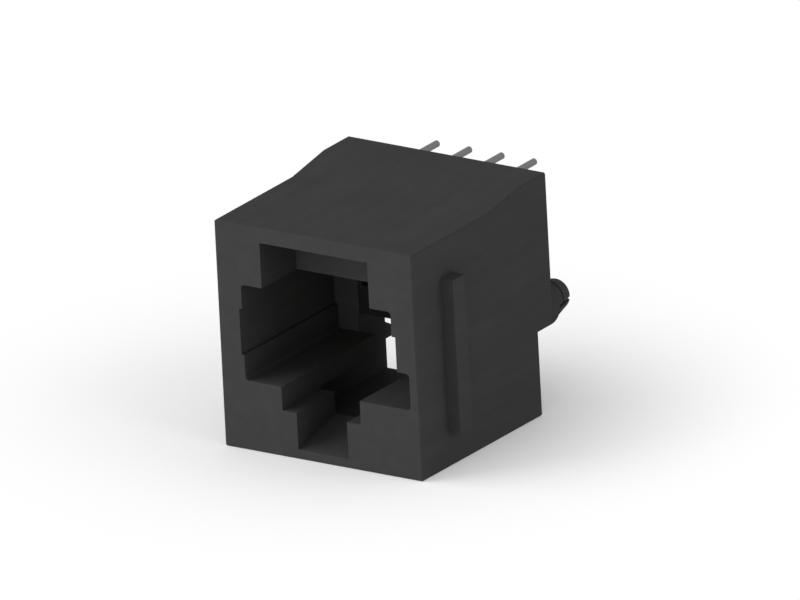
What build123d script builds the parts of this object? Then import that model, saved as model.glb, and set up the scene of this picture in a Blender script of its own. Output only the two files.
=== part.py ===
from build123d import *
import os
from math import atan2, cos, degrees, radians, sin, tan

# A keyed eight-position modular jack that stands its plug axis at right angles to a circuit board.
# X runs across the jack, Y from the plug face towards the board, Z up from the wall on the latch side.
# While it is built, the plug face lies at Y = 0 and the resting wall at Z = 0, centred on X = 0.

# Outer body
BODY_WIDTH = 15.49
BODY_DEPTH = 15.75
REAR_RISE = 0.62
REAR_FLAT = 2.97
RAMP_RUN = 3.76
STEP_DEPTH = 1.76
STEP_HEIGHT = 5.73
EDGE_BREAK = 0.10

# Plug bay, measured up from the resting wall
BAY_WIDTH = 11.72
BAY_FLOOR = 4.84
BAY_HEIGHT = 6.61
CORNER_RADIUS = 0.25
RELIEF_LOW = 6.56
RELIEF_HIGH = 9.75
RELIEF_LEFT = 0.22
RELIEF_RIGHT = 0.50
KEY_REACH = 7.08
KEY_HEIGHT = 2.51

# Latch channel and the ledge that the latch hooks behind
LATCH_WIDTH = 6.14
LATCH_FLOOR = 3.20
TONGUE_WIDTH = 3.94
TONGUE_FLOOR = 0.66
TONGUE_RISE = 1.04
LEDGE_DEPTH = 4.45
SHELF_THICKNESS = 1.39
VOID_WIDTH = 9.17
VOID_FLOOR = 1.32

# Recess over the bay and the lip that guards the bent contacts
RECESS_WIDTH = 8.44
RECESS_HEIGHT = 3.15
RECESS_DEPTH = 4.08
LIP_THICKNESS = 0.50
ROOF = 1.03
REAR_ROOF = 0.65

# Panel stops on both sides
STOP_REACH = 0.94
STOP_FRONT = 3.19
STOP_THICKNESS = 1.40
STOP_LOW = 2.49
STOP_LENGTH = 10.55

# Board side: pegs, feet and contact rows
PEG_SPACING = 11.43
PEG_HEIGHT = 6.40
PEG_ROOT_RADIUS = 1.30
PEG_RADIUS = 1.60
PEG_COLLAR = 1.40
PEG_POST_RADIUS = 1.39
PEG_GROOVE_START = 2.14
PEG_GROOVE_WIDTH = 0.30
PEG_GROOVE_DEPTH = 0.13
PEG_HEAD_RADIUS = 1.33
PEG_LENGTH = 3.55
PEG_TIP_RADIUS = 1.00
PEG_TIP_ROUND = 0.25
PEG_SLOT_WIDTH = 0.24
PEG_SLOT_DROP = 0.15
FOOT_WIDTH = 1.30
FOOT_LOW = 3.19
FOOT_HEIGHT = 1.35
FOOT_TAPER = 1.00
NEAR_ROW = 6.35
FAR_ROW = 8.89
TAIL_LENGTH = 3.56

# Contacts: round wire
CONTACT_COUNT = 8
SPRING_PITCH = 1.016
TAIL_PITCH = 1.27
WIRE_RADIUS = 0.23
CURL_RADIUS = 1.60
SPRING_ANGLE = 24.0
BEND_RADIUS = 0.50
TIP_BREAK = 0.09
CURL_CLEARANCE = 0.12
FAN_LEAD = 0.60
FAN_LENGTH = 2.10
SPRING_IN_COMB = 1.00

# Contact insert
FIT_GAP = 0.05
WIRE_GAP = 0.05
INSERT_RECESS = 0.15
BLOCK_DEPTH = 4.70
BLOCK_LOW = 6.15
FLANGE_WIDTH = 10.00
FLANGE_DEPTH = 4.20
FLANGE_LOW = 12.20
PLATE_CLEARANCE = 0.29
COMB_DEPTH = 1.40
COMB_CLEARANCE = 0.13
GROOVE_SIDE_GAP = 0.07
DETENT_SETBACK = 1.60
DETENT_REACH = 0.30
DETENT_LENGTH = 1.30
DETENT_HEIGHT = 2.40
DETENT_LOW = 8.00

# How far cutters run past the faces that they open, and how deep added bodies root in the wall
OVERCUT = 1.00
ROOT = 0.30

# Places worked out from the sizes above
bay_top = BAY_FLOOR + BAY_HEIGHT
recess_top = bay_top + RECESS_HEIGHT
front_height = recess_top + ROOF
rear_height = front_height + REAR_RISE
ramp_end = BODY_DEPTH - REAR_FLAT
bay_depth = BODY_DEPTH - INSERT_RECESS - BLOCK_DEPTH
lip_rear = RECESS_DEPTH + LIP_THICKNESS
insert_rear = BODY_DEPTH - INSERT_RECESS
plate_top = recess_top - FIT_GAP
flange_front = insert_rear - FLANGE_DEPTH
raised_top = rear_height - REAR_ROOF - FIT_GAP
far_row_height = PEG_HEIGHT + FAR_ROW
near_row_height = PEG_HEIGHT + NEAR_ROW
tail_end = BODY_DEPTH + TAIL_LENGTH

groove_half = WIRE_RADIUS + GROOVE_SIDE_GAP
nose_gap = CURL_RADIUS + WIRE_RADIUS
curl_depth = lip_rear + CURL_CLEARANCE + nose_gap
curl_height = plate_top - CURL_CLEARANCE - nose_gap
run_height = curl_height + CURL_RADIUS
fan_start = bay_depth + FAN_LEAD
fan_end = fan_start + FAN_LENGTH
spring_end = bay_depth + SPRING_IN_COMB
plate_low = curl_height - CURL_RADIUS + WIRE_RADIUS + PLATE_CLEARANCE

# The spring leaves the curl at a tangent and runs down into the comb
curl_turn = radians(90 - SPRING_ANGLE)
spring_start = curl_depth - CURL_RADIUS * cos(curl_turn)
spring_top = curl_height - CURL_RADIUS * sin(curl_turn)
spring_low = spring_top - (spring_end - spring_start) * tan(radians(SPRING_ANGLE))
comb_low = spring_low - WIRE_RADIUS - COMB_CLEARANCE


def window(left, right, low, high, radius=0.0):
    """Rectangle of an X-Z outline, with round corners where a radius is given."""
    shape = Rectangle(right - left, high - low)
    if radius > 0:
        shape = RectangleRounded(right - left, high - low, radius)
    return Pos((left + right) / 2, (low + high) / 2) * shape


def along_depth(outline, start, end):
    """Solid of an X-Z outline, carried along Y from start to end."""
    plane = Plane(origin=(0, end, 0), x_dir=(1, 0, 0), z_dir=(0, -1, 0))
    return extrude(plane * outline, end - start)


def across(points, left, right):
    """Solid of a Y-Z outline, carried along X from left to right."""
    face = make_face(Polyline(*points, close=True))
    return extrude(Plane.YZ.offset(left) * face, right - left)


def body_block():
    """The outer form: side view with the raised rear and the step behind the resting wall."""
    step_face = BODY_DEPTH - STEP_DEPTH
    side = [
        (0, 0),
        (step_face, 0),
        (step_face, STEP_HEIGHT),
        (BODY_DEPTH, STEP_HEIGHT),
        (BODY_DEPTH, rear_height),
        (ramp_end, rear_height),
        (ramp_end - RAMP_RUN, front_height),
        (0, front_height),
    ]
    block = across(side, -BODY_WIDTH / 2, BODY_WIDTH / 2)
    crossing = block.edges().filter_by(Axis.X)
    inner_corner = [
        edge
        for edge in crossing
        if abs(edge.center().Y - step_face) < 0.01 and abs(edge.center().Z - STEP_HEIGHT) < 0.01
    ]
    ramp_start = ramp_end - RAMP_RUN
    ramp_edges = crossing.filter_by_position(Axis.Y, ramp_start - ROOT, ramp_end + ROOT)
    kept_sharp = inner_corner + list(ramp_edges)
    return chamfer([edge for edge in block.edges() if edge not in kept_sharp], EDGE_BREAK)


def bay_outline():
    """Section of the plug bay: shoulders, side reliefs and the key notch on the right."""
    half = BAY_WIDTH / 2
    outline = window(-half, half, BAY_FLOOR, bay_top, CORNER_RADIUS)
    outline += window(-half - RELIEF_LEFT, 0, RELIEF_LOW, RELIEF_HIGH)
    outline += window(0, half + RELIEF_RIGHT, RELIEF_LOW, RELIEF_HIGH)
    outline += window(0, KEY_REACH, BAY_FLOOR, BAY_FLOOR + KEY_HEIGHT, CORNER_RADIUS)
    return outline


def plug_space():
    """Everything that a plug and its latch reach from the front."""
    half_latch = LATCH_WIDTH / 2
    half_recess = RECESS_WIDTH / 2
    recess_low = bay_top - CORNER_RADIUS * 2
    space = along_depth(bay_outline(), -OVERCUT, bay_depth)
    space += along_depth(window(-half_recess, half_recess, recess_low, recess_top), -OVERCUT, RECESS_DEPTH)
    latch_top = BAY_FLOOR + CORNER_RADIUS * 2
    space += along_depth(window(-half_latch, half_latch, LATCH_FLOOR, latch_top), -OVERCUT, bay_depth)
    slope = TONGUE_RISE / LEDGE_DEPTH
    tongue = [
        (-OVERCUT, TONGUE_FLOOR - OVERCUT * slope),
        (LEDGE_DEPTH, TONGUE_FLOOR + TONGUE_RISE),
        (LEDGE_DEPTH, LATCH_FLOOR + ROOT),
        (-OVERCUT, LATCH_FLOOR + ROOT),
    ]
    space += across(tongue, -TONGUE_WIDTH / 2, TONGUE_WIDTH / 2)
    half_void = VOID_WIDTH / 2
    shelf_low = BAY_FLOOR - SHELF_THICKNESS
    space += along_depth(window(-half_void, half_void, VOID_FLOOR, shelf_low), LEDGE_DEPTH, bay_depth)
    rear_opening = window(-half_void, half_void, VOID_FLOOR, BLOCK_LOW - FIT_GAP)
    space += along_depth(rear_opening, bay_depth, BODY_DEPTH)
    return space


def insert_space():
    """The channel and the pocket that take the contact insert from the board side."""
    half = RECESS_WIDTH / 2
    half_flange = FLANGE_WIDTH / 2 + FIT_GAP
    space = along_depth(window(-half, half, bay_top - CORNER_RADIUS * 2, recess_top), lip_rear, BODY_DEPTH)
    space += along_depth(window(-half, half, BLOCK_LOW - ROOT, recess_top), bay_depth, BODY_DEPTH)
    space += across(flange_side(FIT_GAP, BODY_DEPTH), -half_flange, half_flange)
    for side in (-1, 1):
        space += detent(side, FIT_GAP)
    return space


def flange_side(gap, rear):
    """Side view of the wide rear of the insert, whose top follows the ramp, grown by gap for its pocket."""
    front = flange_front - gap
    low = FLANGE_LOW - gap
    top = raised_top + gap
    top_at_front = top - (ramp_end - front) * REAR_RISE / RAMP_RUN
    return [(front, low), (rear, low), (rear, top), (ramp_end, top), (front, top_at_front)]


def detent(side, gap):
    """Wedge on the insert's side that snaps into the housing, grown by gap for its pocket."""
    wall = RECESS_WIDTH / 2 - FIT_GAP
    root = wall - ROOT
    crest = wall + DETENT_REACH + gap
    start = bay_depth + DETENT_SETBACK - gap
    end = start + DETENT_LENGTH + 2 * gap
    wedge = Polyline(
        (side * root, start),
        (side * (wall + gap), start),
        (side * crest, end),
        (side * root, end),
        close=True,
    )
    low = DETENT_LOW - gap
    return Pos(0, 0, low) * extrude(make_face(wedge), DETENT_HEIGHT + 2 * gap)


def peg(x):
    """Locating peg: root behind the seat, collar that fits the hole, and a slimmer split post."""
    root = BODY_DEPTH - STEP_DEPTH - ROOT
    collar_end = BODY_DEPTH + PEG_COLLAR
    groove_start = BODY_DEPTH + PEG_GROOVE_START
    tip = BODY_DEPTH + PEG_LENGTH
    profile = Polyline(
        (0, root),
        (PEG_ROOT_RADIUS, root),
        (PEG_ROOT_RADIUS, BODY_DEPTH),
        (PEG_RADIUS, BODY_DEPTH),
        (PEG_RADIUS, collar_end),
        (PEG_POST_RADIUS, collar_end),
        (PEG_HEAD_RADIUS, groove_start),
        (PEG_TIP_RADIUS, tip),
        (0, tip),
        close=True,
    )
    post = revolve(make_face(profile), Axis.Y)
    post = fillet(post.edges().sort_by(Axis.Y)[-1], PEG_TIP_ROUND)
    slot_low = -PEG_SLOT_DROP - PEG_SLOT_WIDTH / 2
    slot = window(-PEG_RADIUS, PEG_RADIUS, slot_low, slot_low + PEG_SLOT_WIDTH)
    post -= along_depth(slot, collar_end, tip + OVERCUT)
    ring = Circle(PEG_RADIUS) - Circle(PEG_HEAD_RADIUS - PEG_GROOVE_DEPTH)
    above_slot = window(-PEG_RADIUS, PEG_RADIUS, -PEG_SLOT_DROP, PEG_RADIUS)
    post -= along_depth(ring & above_slot, groove_start, groove_start + PEG_GROOVE_WIDTH)
    return Pos(x, 0, PEG_HEIGHT) * post


def foot(side):
    """Small tapered foot that holds the set-back lower edge off the board."""
    face = BODY_DEPTH - STEP_DEPTH
    inner = VOID_WIDTH / 2
    low = FOOT_LOW
    outline = [
        (face - ROOT, low),
        (BODY_DEPTH, low),
        (BODY_DEPTH, low + FOOT_HEIGHT - FOOT_TAPER),
        (face, low + FOOT_HEIGHT),
        (face - ROOT, low + FOOT_HEIGHT),
    ]
    left, right = sorted((side * inner, side * (inner + FOOT_WIDTH)))
    return across(outline, left, right)


def panel_stop(side):
    """Upright bar on the side wall that bears on the back of a panel."""
    inner = BODY_WIDTH / 2 - ROOT
    outer = BODY_WIDTH / 2 + STOP_REACH
    left, right = sorted((side * inner, side * outer))
    outline = window(left, right, STOP_LOW, STOP_LOW + STOP_LENGTH)
    return along_depth(outline, STOP_FRONT, STOP_FRONT + STOP_THICKNESS)


def housing():
    """The one-piece moulded housing."""
    body = body_block()
    for side in (-1, 1):
        body += panel_stop(side)
        body += foot(side)
        body += peg(side * PEG_SPACING / 2)
    body -= plug_space()
    body -= insert_space()
    return body


def spring_x(number):
    """Place across the jack of a contact's spring."""
    return (number - (CONTACT_COUNT - 1) / 2) * SPRING_PITCH


def tail_x(number):
    """Place across the jack of a contact's tail."""
    return (number - (CONTACT_COUNT - 1) / 2) * TAIL_PITCH


def in_far_row(number):
    """Tails alternate between the two rows, starting in the near row."""
    return number % 2 == 1


def round_length(edge):
    """One straight or bent length of wire along an edge of its centre line."""
    section = Plane(origin=edge @ 0, z_dir=edge % 0) * Circle(WIRE_RADIUS)
    if edge.geom_type == GeomType.LINE:
        return extrude(section, edge.length)
    middle = edge.arc_center
    turning = Axis(middle, (edge @ 0 - middle).cross(edge % 0))
    return revolve(section, turning, degrees(edge.length / edge.radius))


def contact(number):
    """Round wire: tail, slope from its row to the spring pitch, curl round the nose, and spring."""
    row = far_row_height if in_far_row(number) else near_row_height
    x_tail, x_spring = tail_x(number), spring_x(number)
    back = FilletPolyline(
        (x_tail, tail_end, row),
        (x_tail, fan_end, row),
        (x_spring, fan_start, run_height),
        (x_spring, curl_depth, run_height),
        radius=BEND_RADIUS,
    )
    curl = ThreePointArc(
        (x_spring, curl_depth, run_height),
        (x_spring, curl_depth - CURL_RADIUS, curl_height),
        (x_spring, spring_start, spring_top),
    )
    spring = Line((x_spring, spring_start, spring_top), (x_spring, spring_end, spring_low))
    pieces = [round_length(edge) for edge in back.edges() + curl.edges() + spring.edges()]
    wire = pieces[0].fuse(*pieces[1:])
    ends = wire.edges().filter_by(GeomType.CIRCLE).sort_by(Axis.Y)
    return chamfer(ends[-1], TIP_BREAK)


def insert_blank():
    """Plate with a round nose, block behind the bay and wider flange over the contact rows."""
    half = RECESS_WIDTH / 2 - FIT_GAP
    nose_radius = plate_top - curl_height
    nose = Pos(curl_depth, curl_height) * Circle(nose_radius)
    plate_middle = (plate_low + plate_top) / 2
    plate = Pos((curl_depth + insert_rear) / 2, plate_middle) * Rectangle(
        insert_rear - curl_depth, plate_top - plate_low
    )
    below = Pos(curl_depth, plate_low - nose_radius) * Rectangle(4 * nose_radius, 2 * nose_radius)
    block = Pos((bay_depth + insert_rear) / 2, (BLOCK_LOW + plate_top) / 2) * Rectangle(
        BLOCK_DEPTH, plate_top - BLOCK_LOW
    )
    side = nose - below + plate + block
    blank = extrude(Plane.YZ.offset(-half) * side, 2 * half)
    half_flange = FLANGE_WIDTH / 2
    blank += across(flange_side(0, insert_rear), -half_flange, half_flange)
    for side_sign in (-1, 1):
        blank += detent(side_sign, 0)
    return blank


def above_groove(number):
    """Everything above the floor that a contact lies on, from the nose to the board side."""
    row = far_row_height if in_far_row(number) else near_row_height
    drop = WIRE_RADIUS + WIRE_GAP
    slope = atan2(row - run_height, FAN_LENGTH)
    shift = drop * tan(slope / 2)
    top = raised_top + OVERCUT
    rear = insert_rear + OVERCUT
    points = [
        (curl_depth, run_height - drop),
        (fan_start + shift, run_height - drop),
        (fan_end + shift, row - drop),
        (rear, row - drop),
        (rear, top),
        (curl_depth, top),
    ]
    return across(points, -FLANGE_WIDTH, FLANGE_WIDTH)


def groove_plan(number):
    """Plan of a groove that follows its contact from the spring pitch to the tail pitch."""
    x_spring, x_tail = spring_x(number), tail_x(number)
    rear = insert_rear + OVERCUT
    points = [
        (x_spring - groove_half, curl_depth),
        (x_spring - groove_half, fan_start),
        (x_tail - groove_half, fan_end),
        (x_tail - groove_half, rear),
        (x_tail + groove_half, rear),
        (x_tail + groove_half, fan_end),
        (x_spring + groove_half, fan_start),
        (x_spring + groove_half, curl_depth),
    ]
    plan = make_face(Polyline(*points, close=True))
    return Pos(0, 0, BLOCK_LOW) * extrude(plan, raised_top - BLOCK_LOW + OVERCUT)


def nose_groove(number):
    """The part of a groove that follows the curl round the nose."""
    inner = CURL_RADIUS - WIRE_RADIUS - WIRE_GAP
    outer = CURL_RADIUS + 2 * WIRE_RADIUS
    ring = Circle(outer) - Circle(inner)
    ahead = Pos(-outer, 0) * Rectangle(2 * outer, 4 * outer)
    section = Pos(curl_depth, curl_height) * (ring & ahead)
    x = spring_x(number)
    return extrude(Plane.YZ.offset(x - groove_half) * section, 2 * groove_half)


def comb_slot(number):
    """Slot in the block's front that keeps a spring's end in line."""
    x = spring_x(number)
    slot = window(x - groove_half, x + groove_half, comb_low, plate_low)
    return along_depth(slot, bay_depth - OVERCUT, bay_depth + COMB_DEPTH)


def contact_insert():
    """The moulded insert that holds the eight contacts."""
    insert = insert_blank()
    for number in range(CONTACT_COUNT):
        insert -= groove_plan(number) & above_groove(number)
        insert -= nose_groove(number)
        insert -= comb_slot(number)
    return insert


def main():
    """Write one file for each piece, in the frame of the whole jack."""
    os.makedirs("parts", exist_ok=True)
    pieces = {"housing": housing(), "contact_insert": contact_insert()}
    for number in range(CONTACT_COUNT):
        pieces[f"contact_{number + 1}"] = contact(number)
    for name, piece in pieces.items():
        placed = Pos(0, -tail_end / 2, 0) * piece
        export_step(placed, f"parts/{name}.step")
        print(name, len(placed.solids()), round(placed.volume, 3), placed.is_valid)


main()
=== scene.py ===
"""A modular jack for a circuit board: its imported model, dressed in real finishes on a studio floor."""

import logging
from collections.abc import Mapping
from dataclasses import dataclass, field
from enum import Enum

import bpy
from mathutils import Matrix, Vector


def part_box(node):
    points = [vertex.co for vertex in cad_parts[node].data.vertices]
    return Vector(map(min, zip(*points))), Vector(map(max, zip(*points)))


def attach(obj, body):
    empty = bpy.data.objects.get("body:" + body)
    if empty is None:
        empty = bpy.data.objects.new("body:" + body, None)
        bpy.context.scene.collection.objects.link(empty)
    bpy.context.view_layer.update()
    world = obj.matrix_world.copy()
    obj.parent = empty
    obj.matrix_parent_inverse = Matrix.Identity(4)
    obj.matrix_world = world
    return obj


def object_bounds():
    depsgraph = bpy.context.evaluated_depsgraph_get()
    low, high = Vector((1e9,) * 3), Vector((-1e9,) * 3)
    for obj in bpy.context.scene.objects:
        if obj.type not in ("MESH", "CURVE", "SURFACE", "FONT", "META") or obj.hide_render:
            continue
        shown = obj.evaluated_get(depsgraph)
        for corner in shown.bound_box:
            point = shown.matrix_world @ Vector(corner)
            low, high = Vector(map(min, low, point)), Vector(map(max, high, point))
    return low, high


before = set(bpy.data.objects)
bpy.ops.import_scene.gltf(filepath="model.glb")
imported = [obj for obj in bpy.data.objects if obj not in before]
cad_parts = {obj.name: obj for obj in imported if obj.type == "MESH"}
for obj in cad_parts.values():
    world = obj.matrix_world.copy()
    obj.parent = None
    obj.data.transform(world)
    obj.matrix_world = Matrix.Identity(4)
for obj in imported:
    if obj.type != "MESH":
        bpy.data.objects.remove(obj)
cad_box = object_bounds()

MM = 0.001

log = logging.getLogger("modular_jack")


def srgb(hex_colour: str) -> tuple[float, float, float, float]:
    """Turn an sRGB hex colour into the linear one that shaders take, by the standard's own curve.

    Args:
        hex_colour: Six hex digits after a hash, such as "#1c1c1d".

    Returns:
        Red, green and blue in linear light, and an alpha of one.
    """
    channels = [int(hex_colour[start : start + 2], 16) / 255 for start in (1, 3, 5)]
    linear = [c / 12.92 if c <= 0.04045 else ((c + 0.055) / 1.055) ** 2.4 for c in channels]
    return linear[0], linear[1], linear[2], 1.0


def find_socket(sockets: bpy.types.bpy_prop_collection, name: str) -> bpy.types.NodeSocket | None:
    """Find a socket by its identifier, or by its shown name.

    Args:
        sockets: A node's inputs or outputs.
        name: An identifier such as "A_Color", or a name such as "Roughness".

    Returns:
        The socket, or None where there isn't one.
    """
    by_identifier = [socket for socket in sockets if socket.identifier == name]
    return by_identifier[0] if by_identifier else sockets.get(name)


def add_node(
    tree: bpy.types.NodeTree,
    kind: str,
    settings: Mapping[str, object],
    links: Mapping[str, bpy.types.NodeSocket],
) -> bpy.types.Node:
    """Add a node to a tree, with its settings and what feeds it.

    Args:
        tree: The node tree of a material or of the world.
        kind: Blender's name of the node's type.
        settings: Values of inputs or of the node's own properties, by name.
        links: The sockets that feed its inputs, by the input's name.

    Returns:
        The new node.
    """
    node = tree.nodes.new(kind)
    for name, value in settings.items():
        if hasattr(node, name):
            setattr(node, name, value)
    for name, value in settings.items():
        if not hasattr(node, name):
            find_socket(node.inputs, name).default_value = value
    for name, source in links.items():
        tree.links.new(source, find_socket(node.inputs, name))
    return node


def new_material(name: str) -> tuple[bpy.types.Material, bpy.types.NodeTree]:
    """Make a material with an empty node tree.

    Args:
        name: What the material really is.

    Returns:
        The material and its node tree.
    """
    material = bpy.data.materials.new(name)
    material.use_nodes = True
    material.node_tree.nodes.clear()
    return material, material.node_tree


def new_piece(
    name: str,
    corners: list[tuple[float, float, float]],
    faces: list[tuple[int, ...]],
    material: bpy.types.Material,
) -> bpy.types.Object:
    """Make a piece from its corners and faces, and put it into the scene.

    Args:
        name: The piece's name, which its mesh gets too.
        corners: Their places, in metres.
        faces: Each face's corners by number, anticlockwise as seen from outside.
        material: The finish of every face.

    Returns:
        The new object.
    """
    mesh = bpy.data.meshes.new(name)
    mesh.from_pydata(corners, [], faces)
    mesh.materials.append(material)
    piece = bpy.data.objects.new(name, mesh)
    bpy.context.scene.collection.objects.link(piece)
    return piece


def seen_directly(tree: bpy.types.NodeTree) -> bpy.types.NodeSocket:
    """Add what tells rays that show the background from rays that light the jack.

    Args:
        tree: The node tree of a material or of the world.

    Returns:
        1 for camera, glossy and transmission rays, and 0 for the rest.
    """
    path = add_node(tree, "ShaderNodeLightPath", {}, {})
    seen = path.outputs["Is Camera Ray"]
    for other_rays in ("Is Glossy Ray", "Is Transmission Ray"):
        either = add_node(
            tree,
            "ShaderNodeMath",
            {"operation": "MAXIMUM"},
            {"Value": seen, "Value_001": path.outputs[other_rays]},
        )
        seen = either.outputs["Value"]
    return seen


class Direction(Enum):
    """Which way a pattern is stretched, as factors on its frequency along the jack's own axes."""

    EVEN = (1.0, 1.0, 1.0)
    ALONG_DEPTH = (1.0, 0.12, 1.0)


class Side(Enum):
    """A side of the jack as seen from the plug face, with its sign along X."""

    LEFT = -1
    RIGHT = 1


@dataclass(frozen=True)
class Pattern:
    """A noise whose grain has a real size."""

    grain_mm: float
    detail: float = 2.0
    roughness: float = 0.5
    direction: Direction = Direction.EVEN

    def build(self, tree: bpy.types.NodeTree) -> bpy.types.NodeSocket:
        """Add the noise to a tree.

        Args:
            tree: The material's node tree.

        Returns:
            The noise's value, from 0 to 1 about a middle of 0.5.
        """
        place = add_node(tree, "ShaderNodeTexCoord", {}, {})
        stretched = add_node(
            tree,
            "ShaderNodeVectorMath",
            {"operation": "MULTIPLY", "Vector_001": self.direction.value},
            {"Vector": place.outputs["Object"]},
        )
        noise = add_node(
            tree,
            "ShaderNodeTexNoise",
            {
                "Scale": 1.0 / (self.grain_mm * MM),
                "Detail": self.detail,
                "Roughness": self.roughness,
            },
            {"Vector": stretched.outputs["Vector"]},
        )
        return noise.outputs[0]


@dataclass(frozen=True)
class GlassFilledPolyester:
    """Black PBT with glass fibre, injection moulded in a spark-eroded tool.

    The eroded cavity leaves a fine matt grain, so highlights are broad and dim. Glass fibres that lie
    near the skin along the flow make faint grey streaks, and the polymer pools a little glossier
    between them.
    """

    name: str
    skin: str
    streak: str
    roughness: float
    roughness_spread: float = 0.10
    ior: float = 1.57
    # Far under the usual 0.5: the grain swallows the room's reflection, so slanted faces stay dark.
    specular: float = 0.02
    # The real erosion grain is about 0.04 mm, too fine to show, so it is drawn three times as coarse.
    grain: Pattern = Pattern(grain_mm=0.13, detail=3.0, roughness=0.6)
    grain_height_mm: float = 0.004
    grain_strength: float = 0.6
    flow: Pattern = Pattern(grain_mm=0.9, detail=4.0, direction=Direction.ALONG_DEPTH)
    # The noise's values at which the skin starts to turn grey, and at which it is all streak.
    streak_starts: float = 0.42
    streak_full: float = 0.72
    sheen_patches: Pattern = Pattern(grain_mm=3.2)
    # The noise's values between which a glossier patch turns into a duller one.
    patch_glossy: float = 0.3
    patch_dull: float = 0.7

    def build(self) -> bpy.types.Material:
        """Make the material.

        Returns:
            The finish of one moulding.
        """
        material, tree = new_material(self.name)
        flow = add_node(
            tree,
            "ShaderNodeMapRange",
            {"From Min": self.streak_starts, "From Max": self.streak_full},
            {"Value": self.flow.build(tree)},
        )
        colour = add_node(
            tree,
            "ShaderNodeMix",
            {"data_type": "RGBA", "A_Color": srgb(self.skin), "B_Color": srgb(self.streak)},
            {"Factor_Float": flow.outputs["Result"]},
        )
        roughness = add_node(
            tree,
            "ShaderNodeMapRange",
            {
                "From Min": self.patch_glossy,
                "From Max": self.patch_dull,
                "To Min": self.roughness - self.roughness_spread / 2,
                "To Max": self.roughness + self.roughness_spread / 2,
            },
            {"Value": self.sheen_patches.build(tree)},
        )
        bump = add_node(
            tree,
            "ShaderNodeBump",
            {"Strength": self.grain_strength, "Distance": self.grain_height_mm * MM},
            {"Height": self.grain.build(tree)},
        )
        shader = add_node(
            tree,
            "ShaderNodeBsdfPrincipled",
            {"IOR": self.ior, "Specular IOR Level": self.specular},
            {
                "Base Color": find_socket(colour.outputs, "Result_Color"),
                "Roughness": roughness.outputs["Result"],
                "Normal": bump.outputs["Normal"],
            },
        )
        add_node(tree, "ShaderNodeOutputMaterial", {}, {"Surface": shader.outputs["BSDF"]})
        return material


@dataclass(frozen=True)
class PlatedBronzeWire:
    """Drawn phosphor bronze wire, nickel plated, with gold on the spring and matt tin on the tail.

    Drawing leaves fine lines along the wire. Gold on nickel is bright and warm, and tin is a soft
    grey with a coarser, duller grain.
    """

    name: str
    gold: str
    nickel: str
    tin: str
    gold_end_mm: float
    tin_start_mm: float
    blend_mm: float = 0.25
    gold_roughness: float = 0.24
    tin_roughness: float = 0.44
    # Drawing lines are a few hundredths of a millimetre wide and are drawn at about that size.
    drawing_lines: Pattern = Pattern(grain_mm=0.05, direction=Direction.ALONG_DEPTH)
    line_height_mm: float = 0.0015
    line_strength: float = 0.5
    plating_grain: Pattern = Pattern(grain_mm=0.16, detail=3.0)
    # How much roughness the plating's grain adds at its dullest.
    grain_roughness: float = 0.16

    def edge(
        self,
        tree: bpy.types.NodeTree,
        depth: bpy.types.NodeSocket,
        at_mm: float,
    ) -> bpy.types.NodeSocket:
        """Add the soft edge of a plating bath along the wire.

        Args:
            tree: The material's node tree.
            depth: The point's place towards the board, in metres.
            at_mm: Where the bath's edge lies.

        Returns:
            A value that is 0 in front of the edge and 1 behind it.
        """
        return add_node(
            tree,
            "ShaderNodeMapRange",
            {
                "From Min": (at_mm - self.blend_mm / 2) * MM,
                "From Max": (at_mm + self.blend_mm / 2) * MM,
            },
            {"Value": depth},
        ).outputs["Result"]

    def build(self) -> bpy.types.Material:
        """Make the material.

        Returns:
            The finish of one formed wire, from its spring to its tail.
        """
        material, tree = new_material(self.name)
        place = add_node(tree, "ShaderNodeTexCoord", {}, {})
        split = add_node(tree, "ShaderNodeSeparateXYZ", {}, {"Vector": place.outputs["Object"]})
        depth = split.outputs["Y"]
        past_gold = self.edge(tree, depth, self.gold_end_mm)
        past_nickel = self.edge(tree, depth, self.tin_start_mm)
        front = add_node(
            tree,
            "ShaderNodeMix",
            {"data_type": "RGBA", "A_Color": srgb(self.gold), "B_Color": srgb(self.nickel)},
            {"Factor_Float": past_gold},
        )
        colour = add_node(
            tree,
            "ShaderNodeMix",
            {"data_type": "RGBA", "B_Color": srgb(self.tin)},
            {
                "Factor_Float": past_nickel,
                "A_Color": find_socket(front.outputs, "Result_Color"),
            },
        )
        dull = add_node(
            tree,
            "ShaderNodeMapRange",
            {"To Min": self.gold_roughness, "To Max": self.tin_roughness},
            {"Value": past_nickel},
        )
        roughness = add_node(
            tree,
            "ShaderNodeMath",
            {"operation": "MULTIPLY_ADD", "Value_001": self.grain_roughness},
            {"Value": self.plating_grain.build(tree), "Value_002": dull.outputs["Result"]},
        )
        bump = add_node(
            tree,
            "ShaderNodeBump",
            {"Strength": self.line_strength, "Distance": self.line_height_mm * MM},
            {"Height": self.drawing_lines.build(tree)},
        )
        shader = add_node(
            tree,
            "ShaderNodeBsdfPrincipled",
            {"Metallic": 1.0},
            {
                "Base Color": find_socket(colour.outputs, "Result_Color"),
                "Roughness": roughness.outputs["Value"],
                "Normal": bump.outputs["Normal"],
            },
        )
        add_node(tree, "ShaderNodeOutputMaterial", {}, {"Surface": shader.outputs["BSDF"]})
        return material


def dress(node_name: str, material: bpy.types.Material) -> None:
    """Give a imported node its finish.

    Args:
        node_name: The node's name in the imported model.
        material: The finish that it gets in every slot.
    """
    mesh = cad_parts[node_name].data
    mesh.materials.clear()
    mesh.materials.append(material)
    log.info("%s: %s, %d faces", node_name, material.name, len(mesh.polygons))


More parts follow.
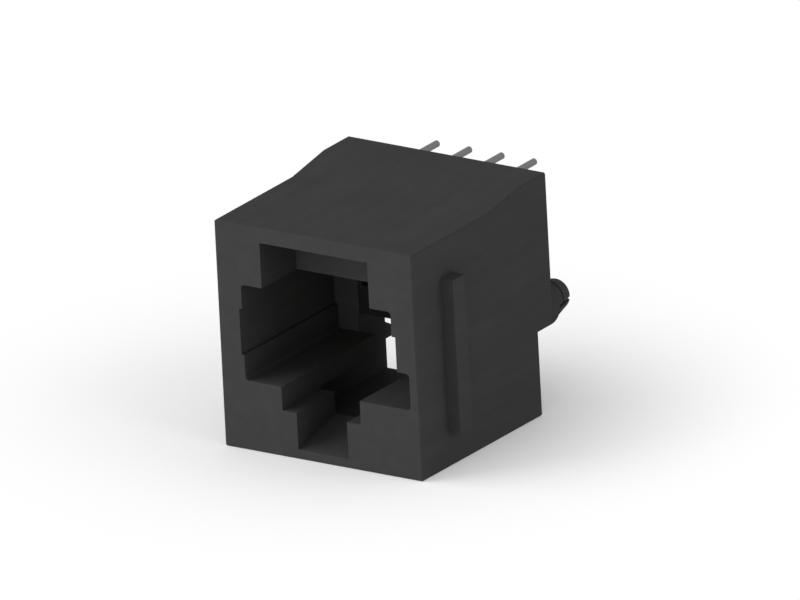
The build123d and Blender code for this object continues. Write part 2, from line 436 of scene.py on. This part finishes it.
@dataclass(frozen=True)
class WallPad:
    """A thin flat pad that belongs to the moulding and lies face to face on one of its inner walls.

    Its outline is seen from the right, as places along Y and Z, and runs anticlockwise.
    """

    name: str
    left_mm: float
    right_mm: float
    outline_mm: tuple[tuple[float, float], ...]

    def build(self, material: bpy.types.Material) -> None:
        """Make the pad as a closed prism.

        Args:
            material: The moulding's own finish.
        """
        count = len(self.outline_mm)
        across = (self.left_mm, self.right_mm)
        corners = [(x * MM, y * MM, z * MM) for x in across for y, z in self.outline_mm]
        left_face = tuple(reversed(range(count)))
        right_face = tuple(range(count, 2 * count))
        rim = [(i, (i + 1) % count, (i + 1) % count + count, i + count) for i in range(count)]
        pad = new_piece(self.name, corners, [left_face, right_face, *rim], material)
        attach(pad, "root")
        log.info("%s: %s, %d faces", self.name, material.name, len(pad.data.polygons))


@dataclass(frozen=True)
class Housing:
    """The moulded housing with its panel stops, pegs and feet.

    Depths are from the plug face, heights from the resting wall and widths from the middle.
    """

    node_name: str = "housing"
    relief_wall_mm: float = 6.36
    relief_low_mm: float = 7.35
    relief_high_mm: float = 9.75
    relief_pad_mm: float = 0.22
    bay_depth_mm: float = 10.90
    ledge_depth_mm: float = 4.45
    window_wall_mm: float = 4.585
    window_low_mm: float = 1.32
    shelf_low_mm: float = 3.45
    window_high_mm: float = 6.10
    window_rear_mm: float = 13.99
    jamb_mm: float = 0.22
    finish: GlassFilledPolyester = GlassFilledPolyester(
        name="housing black PBT with glass fibre, eroded texture",
        skin="#3a3a3a",
        streak="#3d3d3d",
        roughness=0.78,
    )

    def build(self) -> None:
        """Dress the housing, and add what narrows its right relief and its rear window."""
        material = self.finish.build()
        dress(self.node_name, material)
        plug_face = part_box(self.node_name)[0].y / MM
        self.relief_pad(plug_face).build(material)
        for side in Side:
            self.jamb(side, plug_face).build(material)

    def relief_pad(self, plug_face: float) -> WallPad:
        """Size the pad on the bay's right wall, over the key notch.

        Args:
            plug_face: The plug face's place along Y, in millimetres.

        Returns:
            The pad, from the plug face to the bay's end.
        """
        rear = plug_face + self.bay_depth_mm
        low, high = self.relief_low_mm, self.relief_high_mm
        left = self.relief_wall_mm - self.relief_pad_mm
        outline = ((plug_face, low), (rear, low), (rear, high), (plug_face, high))
        return WallPad("relief_pad", left, self.relief_wall_mm, outline)

    def jamb(self, side: Side, plug_face: float) -> WallPad:
        """Size the pad along one side of the space under the shelves and of the rear window.

        Args:
            side: The side that it lies on.
            plug_face: The plug face's place along Y, in millimetres.

        Returns:
            The pad, from the ledge to the housing's set-back lower rear.
        """
        front = plug_face + self.ledge_depth_mm
        middle = plug_face + self.bay_depth_mm
        rear = plug_face + self.window_rear_mm
        outline = (
            (front, self.window_low_mm),
            (rear, self.window_low_mm),
            (rear, self.window_high_mm),
            (middle, self.window_high_mm),
            (middle, self.shelf_low_mm),
            (front, self.shelf_low_mm),
        )
        wall = side.value * self.window_wall_mm
        inner = side.value * (self.window_wall_mm - self.jamb_mm)
        return WallPad(f"window_jamb_{side.name.lower()}", min(wall, inner), max(wall, inner), outline)


@dataclass(frozen=True)
class ContactInsert:
    """The second moulding, which holds the contacts."""

    node_name: str = "contact_insert"
    finish: GlassFilledPolyester = GlassFilledPolyester(
        name="insert black PBT with glass fibre, plain tool",
        # The skin is a different black from the housing's, and darker still as painted shade for the
        # deep bay that the insert sits in.
        skin="#242424",
        streak="#272727",
        roughness=0.70,
    )

    def build(self) -> None:
        """Dress the insert."""
        dress(self.node_name, self.finish.build())


@dataclass(frozen=True)
class ContactSet:
    """The formed wires, all of one reel and plated in one line."""

    prefix: str = "contact_"
    count: int = 8
    # How far behind the insert's front the gold ends and the tin starts.
    gold_end_mm: float = 5.0
    tin_start_mm: float = 9.0

    def build(self) -> None:
        """Dress each contact, with its plating's edges worked out from the insert's own box."""
        low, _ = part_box("contact_insert")
        insert_front = low.y / MM
        finish = PlatedBronzeWire(
            name="contact phosphor bronze wire, gold and tin plated",
            gold="#e3c07a",
            nickel="#b9b4aa",
            tin="#737372",
            gold_end_mm=insert_front + self.gold_end_mm,
            tin_start_mm=insert_front + self.tin_start_mm,
        )
        material = finish.build()
        for number in range(1, self.count + 1):
            dress(f"{self.prefix}{number}", material)


@dataclass(frozen=True)
class SoftBox:
    """A large soft lamp that points at the jack."""

    name: str
    direction: tuple[float, float, float]
    level: float
    side_mm: float = 260.0
    distance_mm: float = 300.0
    # Pi squared: the lamp spreads its power over half a sphere, and so does the surface that it lights.
    spread: float = 9.87

    def build(self, aim: Vector) -> None:
        """Hang the lamp.

        Args:
            aim: The point that it shines at.
        """
        away = Vector(self.direction).normalized()
        lamp = bpy.data.lights.new(self.name, "AREA")
        lamp.shape = "SQUARE"
        lamp.size = self.side_mm * MM
        lamp.energy = self.level * self.power_for_unit_light()
        holder = bpy.data.objects.new(self.name, lamp)
        holder.location = aim + away * self.distance_mm * MM
        holder.rotation_euler = away.to_track_quat("Z", "Y").to_euler()
        bpy.context.scene.collection.objects.link(holder)

    def power_for_unit_light(self) -> float:
        """Watts at which a white surface that faces the lamp renders about white."""
        distance = self.distance_mm * MM
        return self.spread * distance**2


@dataclass(frozen=True)
class Floor:
    """A pale floor that keeps the jack's shadow near it and runs out to white."""

    size_mm: float = 2000.0
    drop_mm: float = 0.005
    paint: str = "#f2f2f2"
    roughness: float = 0.9
    # The lamps leave the floor a little short of white, so where it is looked at it glows this much.
    lift: float = 0.11
    shadow_centre_mm: tuple[float, float, float] = (-5.0, 0.0, 0.0)
    shadow_reach_mm: float = 11.0
    fade_mm: float = 20.0

    def build(self) -> None:
        """Lay the floor."""
        half = self.size_mm * MM / 2
        height = -self.drop_mm * MM
        ends = ((-half, -half), (half, -half), (half, half), (-half, half))
        corners = [(x, y, height) for x, y in ends]
        floor = new_piece("studio_floor", corners, [(0, 1, 2, 3)], self.finish())

    def finish(self) -> bpy.types.Material:
        """Make the floor's matt emulsion paint, which turns into plain white some way off the jack.

        Returns:
            The finish of the floor.
        """
        material, tree = new_material("studio floor, matt emulsion paint")
        place = add_node(tree, "ShaderNodeTexCoord", {}, {})
        distance = add_node(
            tree,
            "ShaderNodeVectorMath",
            {"operation": "DISTANCE", "Vector_001": [value * MM for value in self.shadow_centre_mm]},
            {"Vector": place.outputs["Object"]},
        )
        far = add_node(
            tree,
            "ShaderNodeMapRange",
            {
                "interpolation_type": "SMOOTHSTEP",
                "From Min": self.shadow_reach_mm * MM,
                "From Max": (self.shadow_reach_mm + self.fade_mm) * MM,
            },
            {"Value": distance.outputs["Value"]},
        )
        seen = seen_directly(tree)
        factor = add_node(
            tree,
            "ShaderNodeMath",
            {"operation": "MULTIPLY"},
            {"Value": far.outputs["Result"], "Value_001": seen},
        )
        paint = add_node(
            tree,
            "ShaderNodeBsdfPrincipled",
            {"Base Color": srgb(self.paint), "Roughness": self.roughness},
            {},
        )
        lift = add_node(
            tree,
            "ShaderNodeMath",
            {"operation": "MULTIPLY", "Value_001": self.lift},
            {"Value": seen},
        )
        glow = add_node(
            tree,
            "ShaderNodeEmission",
            {"Color": srgb("#ffffff")},
            {"Strength": lift.outputs["Value"]},
        )
        near = add_node(
            tree,
            "ShaderNodeAddShader",
            {},
            {"Shader": paint.outputs["BSDF"], "Shader_001": glow.outputs["Emission"]},
        )
        white = add_node(tree, "ShaderNodeEmission", {"Color": srgb("#ffffff")}, {})
        mixed = add_node(
            tree,
            "ShaderNodeMixShader",
            {},
            {
                "Fac": factor.outputs["Value"],
                "Shader": near.outputs["Shader"],
                "Shader_001": white.outputs["Emission"],
            },
        )
        add_node(tree, "ShaderNodeOutputMaterial", {}, {"Surface": mixed.outputs["Shader"]})
        return material


@dataclass(frozen=True)
class Camera:
    """A view without perspective, from the right of the plug face and above."""

    right: tuple[float, float, float] = (0.8288, 0.5574, -0.0490)
    up: tuple[float, float, float] = (-0.1533, 0.3106, 0.9382)
    centre_mm: tuple[float, float, float] = (6.683, -9.655, 12.435)
    distance_mm: float = 200.0
    nearest_mm: float = 10.0
    farthest_mm: float = 10000.0
    pixels_per_mm: float = 15.40
    picture_width: int = 800

    def build(self) -> None:
        """Set up the camera and make it the scene's own."""
        right = Vector(self.right).normalized()
        back = right.cross(Vector(self.up)).normalized()
        up = back.cross(right)
        data = bpy.data.cameras.new("view_camera")
        data.type = "ORTHO"
        data.ortho_scale = self.picture_width / self.pixels_per_mm * MM
        data.clip_start = self.nearest_mm * MM
        data.clip_end = self.farthest_mm * MM
        camera = bpy.data.objects.new("view_camera", data)
        place = Vector(self.centre_mm) * MM + back * self.distance_mm * MM
        camera.matrix_world = Matrix.Translation(place) @ Matrix((right, up, back)).transposed().to_4x4()
        bpy.context.scene.collection.objects.link(camera)
        bpy.context.scene.camera = camera


@dataclass(frozen=True)
class Studio:
    """White room, soft lamps, floor and camera."""

    room_level: float = 0.48
    lamps: tuple[SoftBox, ...] = (
        SoftBox("front_lamp", (0.1, -1.0, 0.08), level=0.30),
        SoftBox("left_lamp", (-0.9, -0.6, 0.5), level=0.90),
        SoftBox("right_lamp", (1.0, 0.05, 0.5), level=0.265),
    )
    floor: Floor = field(default_factory=Floor)
    camera: Camera = field(default_factory=Camera)

    def build(self) -> None:
        """Build the room round the jack."""
        self.camera.build()
        self.floor.build()
        low, high = cad_box
        middle = (low + high) / 2
        for lamp in self.lamps:
            lamp.build(middle)
        self.light_room()
        bpy.context.scene.view_settings.view_transform = "Standard"

    def light_room(self) -> None:
        """Light the room evenly, and let it look white."""
        world = bpy.data.worlds.new("white_room")
        world.use_nodes = True
        tree = world.node_tree
        tree.nodes.clear()
        seen = seen_directly(tree)
        level = add_node(
            tree,
            "ShaderNodeMapRange",
            {"To Min": self.room_level, "To Max": 1.0},
            {"Value": seen},
        )
        light = add_node(
            tree,
            "ShaderNodeBackground",
            {"Color": srgb("#ffffff")},
            {"Strength": level.outputs["Result"]},
        )
        add_node(tree, "ShaderNodeOutputWorld", {}, {"Surface": light.outputs["Background"]})
        bpy.context.scene.world = world


def main() -> None:
    """Build the studio and dress the jack, piece by piece."""
    logging.basicConfig(level=logging.INFO, format="%(name)s: %(message)s")
    Studio().build()
    Housing().build()
    ContactInsert().build()
    ContactSet().build()


if __name__ == "__main__":
    main()
